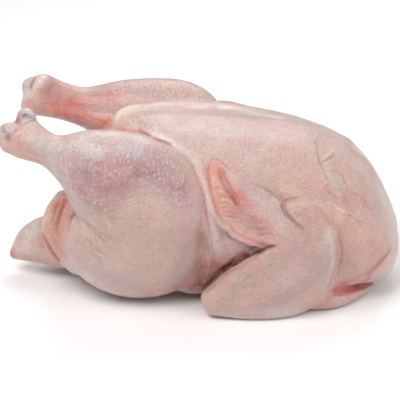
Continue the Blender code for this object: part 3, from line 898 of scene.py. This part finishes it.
paintSpots = [        # tone, radius in pixels, strength, pixels
    # thigh and drumstick
    ("mauve", 24, 0.6, [(75, 150), (110, 150), (150, 155), (185, 180)]),
    ("purple", 15, 0.85, [(85, 178), (110, 168), (135, 168), (160, 172), (180, 188)]),
    ("purple", 11, 0.8, [(76, 180), (84, 194), (98, 206), (112, 210)]),
    ("rose", 7, 0.35, [(100, 182), (118, 174), (132, 168)]),
    ("purple", 12, 0.75, [(98, 190), (112, 192), (126, 184), (128, 172)]),
    ("plum", 7, 0.4, [(100, 203), (104, 211)]),
    ("plum", 12, 0.34, [(98, 186), (114, 189), (128, 180), (130, 168)]),
    ("clay", 8, 0.5, [(99, 204), (104, 214), (104, 222)]),
    ("clay", 5, 0.5, [(76, 214), (80, 222)]),
    ("blueWhite", 10, 0.6, [(70, 266), (90, 279), (112, 291)]),
    # bluish white along the drumstick's top: the pale skin there and a painted highlight
    ("blueWhite", 11, 0.45, [(80, 138), (92, 144), (114, 146), (136, 150)]),
    ("blueWhite", 7, 0.6, [(53, 167), (57, 172)]),
    ("grey", 10, 0.6, [(60, 168), (64, 186), (76, 206), (92, 224)]),
    ("beige", 20, 0.75, [(120, 228), (145, 228), (165, 240), (150, 262)]),
    ("beige", 13, 0.6, [(100, 240), (110, 258)]),
    ("mauve", 13, 0.3, [(180, 205), (186, 230), (180, 255)]),
    ("mauve", 14, 0.5, [(80, 262), (110, 278), (140, 288)]),
    ("pale", 10, 0.5, [(66, 264), (88, 278), (112, 290), (136, 297)]),
    ("purple", 9, 0.35, [(186, 250), (182, 264), (170, 280)]),
    # where the thigh meets the wing: plum and deep red, partly the skin's own brown-red and partly painted
    # shade; the dark dabs are painted shade, and the rose lifts the shaded bottom as painted light
    ("plum", 9, 0.5, [(202, 262), (193, 275), (181, 285)]),
    ("rose", 8, 0.45, [(176, 286), (160, 291), (148, 294)]),
    ("rose", 7, 0.4, [(197, 268), (190, 280), (172, 289)]),
    ("deepRed", 8.5, 0.85, [(222, 260), (211, 268), (203, 279), (194, 289)]),
    ("deepRed", 4, 0.3, [(208, 290), (214, 286)]),
    ("dark", 4.5, 0.7, [(209, 275), (204, 283), (201, 290)]),
    # along the drumstick's top: pale skin, and white that is a painted highlight
    ("pale", 8, 0.7, [(70, 139), (90, 136), (120, 134), (145, 139)]),
    ("white", 7, 0.7, [(70, 143), (84, 142), (99, 140)]),
    # shank and hock
    ("white", 9, 0.75, [(30, 140), (45, 144), (58, 146)]),
    ("rose", 6, 0.45, [(10, 146), (24, 156), (40, 163)]),
    ("pink", 6, 0.6, [(18, 134), (22, 146), (32, 153)]),
    ("pink", 5, 0.5, [(42, 122), (46, 132)]),
    ("blueWhite", 9, 0.95, [(24, 112), (29, 114)]),
    ("blueWhite", 8.5, 0.95, [(7, 127)]),
    ("steel", 4, 0.6, [(20, 114), (26, 117), (32, 117)]),
    ("steel", 4, 0.55, [(3, 128), (9, 131)]),
    ("white", 3, 0.6, [(24, 107), (30, 109)]),
    ("deepRed", 2.8, 0.85, [(17, 119), (18, 124)], "deep"),
    ("deepRed", 2.4, 0.8, [(7, 135), (9, 140)]),
    ("dark", 1.8, 0.8, [(23, 116), (27, 114)]),
    ("dark", 1.8, 0.7, [(30, 117)]),
    ("dark", 1.8, 0.6, [(4, 131)]),
    ("salmon", 3, 0.2, [(13, 122), (18, 129), (16, 138)]),
    # loose skin between thigh and wing
    ("pale", 6.5, 0.95, [(152, 134), (168, 142), (184, 153), (196, 166), (203, 182), (208, 198), (213, 213)]),
    ("white", 4.5, 0.7, [(160, 137), (176, 146), (192, 160)]),
    ("blueWhite", 6, 0.5, [(164, 138), (178, 146), (192, 158)]),
    ("grey", 8, 0.7, [(216, 226), (223, 240), (228, 252)]),
    ("pale", 4, 0.4, [(243, 250), (250, 249)]),
    ("clay", 7, 0.5, [(216, 258), (224, 256)]),
    ("rose", 3, 0.5, [(192, 165), (198, 178), (203, 195), (206, 214), (209, 232)]),
    ("pink", 5, 0.5, [(206, 240), (204, 256)]),
    ("pink", 5, 0.4, [(240, 252), (225, 262)]),
    # breast
    ("pale", 18, 0.42, [(160, 120), (195, 126), (230, 136)]),
    ("pink", 16, 0.35, [(290, 148), (305, 170)]),
    ("pink", 12, 0.45, [(345, 165), (358, 185)]),
    ("grey", 10, 0.3, [(255, 165), (268, 180)]),
    ("cream", 8, 0.6, [(288, 192), (300, 195)]),
    ("pale", 13, 0.45, [(340, 146), (352, 158), (366, 172), (380, 192)]),
    ("mauve", 12, 0.3, [(250, 140), (262, 155)]),
    ("rose", 2.5, 0.3, [(160, 111), (200, 115), (235, 118), (270, 124), (310, 131)]),
    ("white", 7, 0.5, [(150, 104), (175, 104), (205, 107)]),
    ("white", 9, 0.9, [(226, 108), (250, 112), (276, 117)]),
    ("blueWhite", 8, 0.5, [(240, 110), (262, 112)]),
    # white along the fat ridge on the breast: a painted highlight
    ("white", 4.5, 0.35, [(324, 168), (330, 178), (336, 190), (341, 198)]),
    ("cream", 4.5, 0.6, [(335, 203), (342, 212), (340, 222)]),
    ("orange", 5, 0.25, [(326, 186), (334, 200), (348, 200)]),
    ("rose", 5, 0.5, [(344, 200), (350, 212), (342, 228)]),
    ("brown", 1.2, 0.35, [(315, 141), (318, 156), (321, 167), (327, 179)]),
    ("red", 3, 0.35, [(370, 240), (376, 250), (368, 262)]),
    ("rose", 3, 0.5, [(385, 236), (389, 246), (384, 256)]),
    ("white", 2.4, 0.22, [(269, 131), (274, 140), (277, 150)]),
    ("white", 2.4, 0.2, [(270, 142), (262, 151), (252, 162)]),
    ("rose", 8, 0.35, [(310, 186), (322, 196), (332, 208)]),
    ("peach", 10, 0.4, [(290, 186), (306, 190)]),
    ("peach", 14, 0.45, [(345, 225), (365, 232), (378, 246)]),
    ("rose", 7, 0.4, [(352, 196), (366, 206)]),
    ("red", 3, 0.4, [(364, 195), (366, 203)]),
    ("rose", 6, 0.35, [(340, 226), (362, 250), (384, 250)]),
    ("rose", 11, 0.7, [(344, 256), (352, 266)]),
    ("mauve", 7, 0.4, [(340, 262), (350, 270)]),
    # cut of the neck
    ("rose", 6, 0.6, [(336, 284), (350, 280), (366, 272), (384, 256)]),
    # the neck cut: raw red, lightened as painted light against the shade in its groove
    ("red", 4.5, 0.95, [(333, 291), (345, 288), (356, 285), (368, 279)], "deep"),
    ("rose", 3.5, 0.6, [(368, 277), (379, 266), (391, 249)]),
    ("brown", 1.3, 0.5, [(368, 276), (379, 265), (391, 249)]),
    ("raw", 5, 0.9, [(340, 291), (347, 290), (354, 289), (361, 286)], "deep"),
    ("orange", 2.5, 0.7, [(353, 287), (358, 285)], "deep"),
    ("salmon", 7, 0.4, [(312, 301), (330, 304)]),
    ("red", 1.6, 0.5, [(336, 291), (348, 289), (358, 286)]),
    ("peach", 5, 0.3, [(320, 305), (345, 300), (365, 290)]),
    # hand
    ("pink", 18, 0.4, [(222, 180), (240, 205), (262, 222)]),
    ("salmon", 5, 0.95, [(211, 164), (212, 176), (214, 190), (217, 202), (221, 212)], "deep"),
    ("salmon", 5, 0.75, [(226, 222), (238, 233), (252, 240), (266, 244), (276, 245)], "deep"),
    ("red", 5, 0.75, [(217, 168), (222, 176), (226, 184), (231, 193)]),
    ("red", 7, 0.9, [(233, 192), (240, 198), (240, 206), (233, 211)]),
    ("red", 6, 0.75, [(222, 211), (230, 213)]),
    ("rose", 7, 0.8, [(244, 205), (250, 208)]),
    ("deepRed", 1.8, 0.7, [(218, 171), (223, 181), (228, 191), (234, 200), (240, 208)]),
    ("rose", 9, 0.7, [(238, 216), (250, 222), (262, 227)]),
    ("grey", 7, 0.9, [(244, 184), (254, 192), (264, 200), (274, 210)]),
    ("blueWhite", 3.5, 0.3, [(258, 197), (270, 207)]),
    ("peach", 2.4, 0.35, [(220, 160), (234, 172), (247, 181), (264, 190), (276, 198)]),
    ("salmon", 8, 0.6, [(214, 172), (217, 186), (222, 200), (228, 212)]),
    ("orange", 3, 0.8, [(280, 198), (283, 200)]),
    ("deepRed", 1.6, 0.35, [(281, 203), (285, 211), (291, 219), (299, 226)]),
    ("rose", 4, 0.5, [(316, 206), (324, 214), (330, 223)]),
    # wing
    ("clay", 9, 0.6, [(290, 212), (304, 226), (316, 238)]),
    ("pale", 7, 0.4, [(314, 203), (322, 208)]),
    ("pink", 9, 0.5, [(298, 208), (312, 214), (324, 230)]),
    ("rose", 3, 0.5, [(316, 210), (326, 222), (334, 238), (337, 256), (333, 274), (329, 290)]),
    # along the wing's right rim: pale skin, lightened as painted light against the shade near the rim
    ("pale", 4.5, 0.95, [(328, 232), (332, 246), (333, 260), (330, 274)]),
    ("mauve", 9, 0.4, [(302, 248), (308, 262)]),
    ("pale", 8, 0.4, [(318, 248), (320, 262), (316, 276)]),
    ("blueWhite", 8, 0.35, [(317, 250), (319, 262)]),
    ("pink", 6, 0.35, [(278, 253), (290, 250)]),
    ("clay", 17, 0.75, [(222, 298), (245, 282), (272, 264), (300, 246), (312, 268), (294, 290), (268, 304)]),
    ("beige", 13, 0.4, [(234, 292), (252, 282), (272, 270)]),
    ("mauve", 10, 0.4, [(270, 298), (290, 286), (302, 270)]),
    ("rose", 4, 0.3, [(206, 292), (206, 300), (218, 310)]),
    ("clay", 6, 0.4, [(208, 290), (212, 284)]),
    ("pale", 5, 0.4, [(220, 314), (240, 318)]),
    # painted light: bluish white along the wing's shaded lower edge
    ("blueWhite", 7, 0.55, [(268, 314), (284, 313), (298, 312)]),
    ("rose", 2.4, 0.6, [(206, 287), (220, 277), (240, 267), (262, 255)]),
    # the slit under the wing: deep red, partly the skin's own brown-red and partly painted shade, and dark,
    # which is painted shade
    ("deepRed", 4, 0.5, [(218, 268), (236, 258), (252, 250), (266, 245)]),
    ("deepRed", 4, 0.8, [(246, 255), (234, 262), (224, 268), (215, 274), (207, 281)], "deep"),
    ("dark", 3.0, 1.0, [(203, 288), (215, 278), (228, 269), (240, 262)], "deep"),
    ("dark", 1.8, 0.9, [(240, 262), (252, 255), (264, 249), (274, 245)], "deep"),
    ("dark", 2.6, 1.0, [(248, 254), (236, 261), (226, 267), (217, 273), (209, 280), (204, 286)], "deep"),
    # vent and tail
    ("peach", 9, 0.9, [(64, 198), (56, 212), (50, 230), (60, 250)]),
    # salmon on the vent fold: its own colour, lightened as painted light against the shade of its wrinkles
    ("salmon", 8, 0.6, [(63, 206), (58, 220), (57, 234)]),
    ("orange", 5, 0.7, [(63, 198), (56, 208)]),
    ("orange", 3, 0.5, [(75, 212), (70, 222)]),
    ("red", 1.6, 0.6, [(59, 201), (55, 211), (53, 222)]),
    ("red", 1.6, 0.6, [(67, 199), (62, 210), (58, 222)]),
    ("deepRed", 1.5, 0.5, [(75, 211), (71, 220)]),
    ("pale", 6, 0.5, [(82, 224), (90, 234)]),
    ("mauve", 8, 0.25, [(72, 250), (82, 262)]),
    ("red", 2.6, 0.8, [(43, 233), (48, 244), (54, 254), (60, 262)]),
    ("peach", 7, 0.4, [(40, 224), (42, 250)]),
    ("orange", 4, 0.35, [(41, 228), (44, 246)]),
    ("cream", 9, 0.8, [(34, 228), (24, 240)]),
    ("white", 9, 0.7, [(38, 219), (27, 236), (17, 248)]),
    ("rose", 4, 0.7, [(42, 237), (43, 246)]),
    ("rose", 6, 0.5, [(12, 252), (18, 257), (30, 260), (48, 262)]),
    ("rose", 5, 0.5, [(9, 250), (12, 254)]),
    ("orange", 3.5, 0.8, [(8, 253), (13, 256)]),
    # a little of the lightened raw red at the tail's lower edge, painted light
    ("raw", 6, 0.2, [(16, 254), (26, 256)]),
    # cavity's lip
    ("cream", 7, 0.85, [(117, 121), (118, 112), (127, 107), (140, 106)]),
    ("peach", 5, 0.5, [(114, 122), (126, 124)]),
    ("orange", 3.4, 0.9, [(117, 129), (125, 130), (137, 132)]),
    ("peach", 3, 0.7, [(140, 131), (153, 137), (170, 144)]),
    # painted shade: a brown line in the gap between the thigh and the flap
    ("brown", 1.6, 0.6, [(139, 130), (147, 134), (157, 139), (171, 144)], "deep"),
]
farSpots = [        # the inner face of the right leg, which the near one doesn't repeat
    ("white", 6, 0.9, [(44, 76), (38, 84), (31, 92), (25, 98)]),
    ("white", 5, 0.8, [(26, 84), (32, 77), (42, 74)]),
    ("rose", 4, 0.8, [(33, 80), (31, 88)]),
    ("deepRed", 2, 0.5, [(34, 81), (31, 87)]),
    ("pink", 5, 0.7, [(52, 76), (48, 84)]),
    ("peach", 7, 0.8, [(27, 103), (36, 106)]),
    ("peach", 6, 0.5, [(41, 90), (37, 98)]),
    ("rose", 11, 0.75, [(50, 92), (62, 96), (76, 100)]),
    ("red", 6, 0.7, [(48, 104), (62, 106), (75, 104)]),
    ("red", 5, 0.9, [(68, 105), (75, 107), (84, 109)]),
    ("pink", 5, 0.6, [(62, 112), (80, 111), (97, 112)]),
    ("red", 6, 0.85, [(56, 114), (78, 117), (96, 121), (108, 126)]),
    ("red", 5, 0.8, [(66, 119), (78, 122), (90, 127), (104, 130)]),
    ("deepRed", 4, 0.35, [(64, 112), (80, 116), (100, 124)]),
    ("orange", 6, 0.55, [(92, 122), (106, 127)]),
    # salmon under the flap: the membrane's own colour, lightened as painted light against the shade there
    ("salmon", 7, 0.8, [(86, 119), (96, 122), (104, 125)]),
    ("orange", 4, 0.9, [(104, 123), (109, 120), (110, 127)]),
    ("rose", 7, 0.55, [(88, 100), (102, 96), (116, 94)]),
    ("pink", 12, 0.5, [(120, 90), (150, 90), (185, 92)]),
    ("mauve", 8, 0.4, [(140, 92), (175, 92)]),
    ("pink", 6, 0.2, [(218, 101), (234, 104), (248, 108)]),
    ("rose", 9, 0.85, [(96, 98), (106, 98), (116, 98)]),
    ("rose", 8, 0.45, [(60, 86), (68, 86)]),
    # painted light: salmon and lightened raw red lift the far leg's shaded underside
    ("salmon", 8, 0.6, [(50, 110), (66, 111), (80, 112)]),
    ("raw", 7, 0.4, [(42, 110), (54, 110), (68, 111)]),
]
follicles = (0.16, [        # strength everywhere, then patches: radius in pixels, strength, pixels
    (24, 1.0, [(78, 150), (110, 160), (150, 162), (180, 180)]),
    (17, 1.0, [(64, 166), (84, 194), (106, 210)]),
    (12, 0.7, [(66, 146), (84, 142), (110, 141)]),
    (13, 1.0, [(110, 92), (150, 88), (195, 96)]),
    (14, 0.5, [(350, 210), (372, 230)]),
])
crinkles = (0.3, [
    (9, 1.0, [(66, 141), (82, 141), (100, 140)]),
    (9, 0.9, [(28, 142), (46, 146), (60, 150)]),
    (12, 1.0, [(222, 196), (240, 216), (262, 230)]),
    (12, 0.9, [(62, 204), (56, 222), (58, 244)]),
    (12, 0.7, [(40, 224), (28, 238), (18, 250)]),
    (8, 0.6, [(296, 208), (312, 214), (322, 226)]),
    (9, 0.6, [(130, 120), (150, 128)]),
    (14, 0.8, [(312, 226), (326, 250), (322, 280)]),
    (16, 0.55, [(232, 292), (262, 276), (290, 260)]),
    (12, 0.9, [(330, 160), (338, 186), (352, 206)]),
    (14, 0.6, [(300, 180), (320, 200)]),
])
paint = {
    "reach": 2.4,        # of a dab, in radii
    "facing": (2, 0.4),        # keeps a dab off skin that turns away, unless it is deep
    "foldWidth": 0.9,        # of the painted shade line in a fold, as a share of the stroke's width
    "foldLeast": 1.1,        # least width in millimetres
    "foldFoot": 0.8,        # how far below a lip's edge it lies, in widths
    "foldStrength": 0.22,        # for each millimetre of height
    "foldMost": 0.45,
    "wallStrength": 0.75,
    "wallReach": 1.08,        # of the cavity's own width
    "wallFrom": -0.065 * size,
    "wallPast": 0.012,
}


def insideCavity(places):        # whether each place lies on the cavity's wall
    steps = 40
    centres = smoothRow(cuts["cavity"], steps) * size
    table = smoothRow(cuts["cavityThickness"], tableSteps)
    reach = [np.interp(np.linspace(0, 1, steps), table[:, 0], table[:, k]) * size for k in (1, 2)]
    nearest = np.abs(places[:, :1] - centres[None, :, 0]).argmin(1)
    across = (places[:, 1] - centres[nearest, 1]) / reach[0][nearest]
    upward = (places[:, 2] - centres[nearest, 2]) / reach[1][nearest]
    spanned = (places[:, 0] > paint["wallFrom"]) & (places[:, 0] < centres[-1, 0] + paint["wallPast"])
    return spanned & (np.hypot(across, upward) < paint["wallReach"])


def weighDab(surface, row, radius, strength, deep=False):        # vertices under a dab, and its strength
    normals, leftward = rowFrames(row)
    near, at, distance = brushReach(surface, row, radius * paint["reach"])
    weight = strength * np.exp(-((distance / radius) ** 2))
    if not deep:
        steep, least = paint["facing"]
        facing = (surface["normals"][near] * normals[at]).sum(1)
        weight *= np.clip(facing * steep + least, 0, 1)
    return near, weight


def dab(surface, tint, row, radius, strength, tone, deep=False):        # deep paint reaches into a fold
    if len(row):
        near, weight = weighDab(surface, row, radius, strength, deep)
        tint[near] += (linear(tone) - tint[near]) * weight[:, None]


def makeMask(surface, base, patches):
    mask = np.full(len(surface["places"]), base)
    for radius, strength, pixels in patches:
        row = castRow(pixels)
        for places in (row, toRightSide(row)):
            if len(places):
                near, weight = weighDab(surface, places, radius * pixelSize, strength)
                mask[near] = np.maximum(mask[near], weight)
    return mask


def paintFoldShade(surface, tint, kind, width, height, pixels):        # painted shade: a brown line along the fold's lowest part
    row = castRow(pixels)
    for places, flip in ((row, 1), (toRightSide(row), -1)):
        if len(places) < strokeShape["fewest"]:
            continue
        if kind == "lip":
            places = places - rowFrames(places)[1] * flip * width * paint["foldFoot"] * 0.001
        radius = max(width, paint["foldLeast"]) * paint["foldWidth"] * 0.001
        strength = min(paint["foldMost"], paint["foldStrength"] * height)
        dab(surface, tint, places, radius, strength, "crease", deep=True)


def paintSkin():
    surface = readSkin()
    count = len(surface["places"])
    tint = np.tile(linear("skin"), (count, 1))
    for spots, both in ((paintSpots, True), (farSpots, False)):
        for tone, radius, strength, pixels, *deep in spots:
            row = castRow(pixels)
            dab(surface, tint, row, radius * pixelSize, strength, tone, bool(deep))
            if both:
                dab(surface, tint, toRightSide(row), radius * pixelSize, strength, tone, bool(deep))
    # painted shade along every crease and lip
    for kind, width, height, ends, pixels in [*folds.values(), *wrinkles]:
        if kind != "ridge":
            paintFoldShade(surface, tint, kind, width, height, pixels)
    wall = insideCavity(surface["places"])
    tint[wall] += (linear("meat") - tint[wall]) * paint["wallStrength"]
    layer = skin.data.color_attributes.new("tint", "FLOAT_COLOR", "POINT")
    layer.data.foreach_set("color", np.hstack([tint, np.ones((count, 1))]).astype(np.float32).ravel())
    for name, (base, patches) in {"follicle": follicles, "crinkle": crinkles}.items():
        layer = skin.data.attributes.new(name, "FLOAT", "POINT")
        layer.data.foreach_set("value", makeMask(surface, base, patches).astype(np.float32))


paintSkin()
print("skin painted")

# The skin's finish: mottled, finely cracked, with follicles and a moist coat.
skinFinish = {
    "roughness": 0.38,
    "coat": 0.32,
    "coatRoughness": 0.18,
    "shine": (0.05, 0.5),        # in folds darkened with painted shade and on plain skin
    "darkFold": (0.06, 0.26),        # brightness of the paint over which the shine comes in
    "subsurface": 0.18,
    "subsurfaceRadius": (1.0, 0.38, 0.24),
    "subsurfaceScale": 0.004,
    "mottles": [        # noise scale, detail and roughness, where it starts and is full, share, colour
        (42, 5, 0.65, 0.48, 0.68, 0.36, (0.74, 0.52, 0.38)),
        (58, 5, 0.65, 0.50, 0.70, 0.34, (0.52, 0.36, 0.37)),
        (90, 4, 0.55, 0.44, 0.64, 0.34, (0.66, 0.34, 0.32)),
        (220, 4, 0.55, 0.50, 0.72, 0.16, (0.84, 0.72, 0.66)),
        (700, 2, 0.55, 0.58, 0.72, 0.28, (0.55, 0.24, 0.22)),
    ],
    "cracks": {"scale": 480, "width": 0.14, "share": 0.20, "colour": (0.56, 0.34, 0.31)},
    "crackBump": {"width": 0.12, "strength": 0.6, "depth": 0.0007},
    # follicle dots: paler, their own pale colour and a painted highlight on each bump
    "follicles": {"scale": 330, "scatter": 0.8, "width": 0.62, "share": 0.38, "colour": (0.86, 0.76, 0.74)},
    "follicleBump": (0.8, 0.0007),        # strength and depth in metres
    "lumps": [(105, 5, 0.60, 0.5, 0.0030), (330, 4, 0.65, 0.5, 0.0031)],        # noise, strength and depth
    "crinkles": (480, 5, 0.70, 0.8, 0.0021),
}


def makeSkinMaterial():
    material = bpy.data.materials.new("rawSkin")
    material.use_nodes = True
    tree = material.node_tree
    shader = tree.nodes["Principled BSDF"]

    def add(kind, **values):
        node = tree.nodes.new(kind)
        for key, value in values.items():
            setattr(node, key, value)
        return node

    def link(a, b):
        tree.links.new(a, b)

    place = add("ShaderNodeTexCoord").outputs["Object"]

    def read(name, output):
        return add("ShaderNodeAttribute", attribute_name=name).outputs[output]

    def texture(kind, values, **settings):
        node = add(kind, **settings)
        for key, value in values.items():
            node.inputs[key].default_value = value
        link(place, node.inputs["Vector"])
        return node

    def noise(scale, detail, rough):
        values = {"Scale": scale, "Detail": detail, "Roughness": rough}
        return texture("ShaderNodeTexNoise", values).outputs["Fac"]

    def spread(value, low, high, toLow, toHigh):
        node = add("ShaderNodeMapRange", interpolation_type="SMOOTHSTEP")
        for key, number in zip(("From Min", "From Max", "To Min", "To Max"), (low, high, toLow, toHigh)):
            node.inputs[key].default_value = number
        link(value, node.inputs["Value"])
        return node.outputs["Result"]

    def times(value, by):
        node = add("ShaderNodeMath", operation="MULTIPLY")
        link(value, node.inputs[0])
        if isinstance(by, float):
            node.inputs[1].default_value = by
        else:
            link(by, node.inputs[1])
        return node.outputs[0]

    def mix(share, before, colour):
        node = add("ShaderNodeMix", data_type="RGBA")
        link(share, node.inputs[0])
        link(before, node.inputs[6])
        node.inputs[7].default_value = (*colour, 1)
        return node.outputs[2]

    def bump(height, strength, depth, before=None):
        node = add("ShaderNodeBump")
        node.inputs["Strength"].default_value = strength
        node.inputs["Distance"].default_value = depth
        link(height, node.inputs["Height"])
        if before:
            link(before, node.inputs["Normal"])
        return node.outputs["Normal"]

    tint = read("tint", "Color")
    grains = skinFinish["follicles"]
    cells = texture("ShaderNodeTexVoronoi", {"Scale": grains["scale"], "Randomness": grains["scatter"]})
    dots = times(spread(cells.outputs["Distance"], 0.0, grains["width"], 1.0, 0.0), read("follicle", "Fac"))
    cracks = skinFinish["cracks"]
    edges = texture("ShaderNodeTexVoronoi", {"Scale": cracks["scale"]}, feature="DISTANCE_TO_EDGE")
    hatch = edges.outputs["Distance"]

    colour = tint
    for scale, detail, rough, start, full, share, tone in skinFinish["mottles"]:
        colour = mix(spread(noise(scale, detail, rough), start, full, 0.0, share), colour, tone)
    colour = mix(spread(hatch, 0.0, cracks["width"], cracks["share"], 0.0), colour, cracks["colour"])
    # paler follicle dots: partly their own colour, partly a painted highlight on each bump
    colour = mix(times(dots, grains["share"]), colour, grains["colour"])
    link(colour, shader.inputs["Base Color"])

    relief = None
    for scale, detail, rough, strength, depth in skinFinish["lumps"]:
        relief = bump(noise(scale, detail, rough), strength, depth, relief)
    lines = skinFinish["crackBump"]
    relief = bump(spread(hatch, 0.0, lines["width"], 0.0, 1.0), lines["strength"], lines["depth"], relief)
    scale, detail, rough, strength, depth = skinFinish["crinkles"]
    relief = bump(times(noise(scale, detail, rough), read("crinkle", "Fac")), strength, depth, relief)
    relief = bump(dots, *skinFinish["follicleBump"], relief)
    link(relief, shader.inputs["Normal"])

    brightness = add("ShaderNodeRGBToBW")        # folds darkened with painted shade don't shine
    link(tint, brightness.inputs[0])
    dark, plain = skinFinish["darkFold"]
    link(spread(brightness.outputs[0], dark, plain, 0.0, skinFinish["coat"]), shader.inputs["Coat Weight"])
    link(spread(brightness.outputs[0], dark, plain, *skinFinish["shine"]), shader.inputs["Specular IOR Level"])
    shader.inputs["Roughness"].default_value = skinFinish["roughness"]
    shader.inputs["Coat Roughness"].default_value = skinFinish["coatRoughness"]
    shader.inputs["Subsurface Weight"].default_value = skinFinish["subsurface"]
    shader.inputs["Subsurface Radius"].default_value = skinFinish["subsurfaceRadius"]
    shader.inputs["Subsurface Scale"].default_value = skinFinish["subsurfaceScale"]
    return material


skin.data.materials.clear()
skin.data.materials.append(makeSkinMaterial())
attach(skin, "root")
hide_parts("chicken")
print("skin finished")


# Floor and light.
studio = {
    "floorWidth": 6,
    "floorColour": (0.94, 0.94, 0.94),
    "floorRoughness": 0.8,
    "roomLight": 0.35,
    "aim": (0, 0, 0.05),
    "lights": [        # name, place, width, power
        ("keyLight", (-0.50, -0.60, 1.05), 0.7, 10.5),
        ("fillLight", (0.7, -0.5, 0.6), 0.9, 3.9),
        ("backLight", (0.1, 0.8, 0.9), 0.8, 6.0),
    ],
}


def makeFloor():
    pickNothing()
    bpy.ops.mesh.primitive_plane_add(size=studio["floorWidth"])
    floor = bpy.context.object
    floor.name = "floor"
    made = bpy.data.materials.new("paleFloor")
    made.use_nodes = True
    shader = made.node_tree.nodes["Principled BSDF"]
    shader.inputs["Base Color"].default_value = (*studio["floorColour"], 1)
    shader.inputs["Roughness"].default_value = studio["floorRoughness"]
    floor.data.materials.append(made)


def addLight(name, place, width, power):
    data = bpy.data.lights.new(name, "AREA")
    data.size = width
    data.energy = power
    light = bpy.data.objects.new(name, data)
    bpy.context.scene.collection.objects.link(light)
    light.location = place
    light.rotation_mode = "QUATERNION"
    light.rotation_quaternion = (Vector(studio["aim"]) - Vector(place)).to_track_quat("-Z", "Y")


makeFloor()
for light in studio["lights"]:
    addLight(*light)
world = bpy.data.worlds.new("softRoom")
world.use_nodes = True
world.node_tree.nodes["Background"].inputs[0].default_value = (1, 1, 1, 1)
world.node_tree.nodes["Background"].inputs[1].default_value = studio["roomLight"]
bpy.context.scene.world = world
bpy.context.scene.view_settings.view_transform = "Standard"
print("stage and lights set")
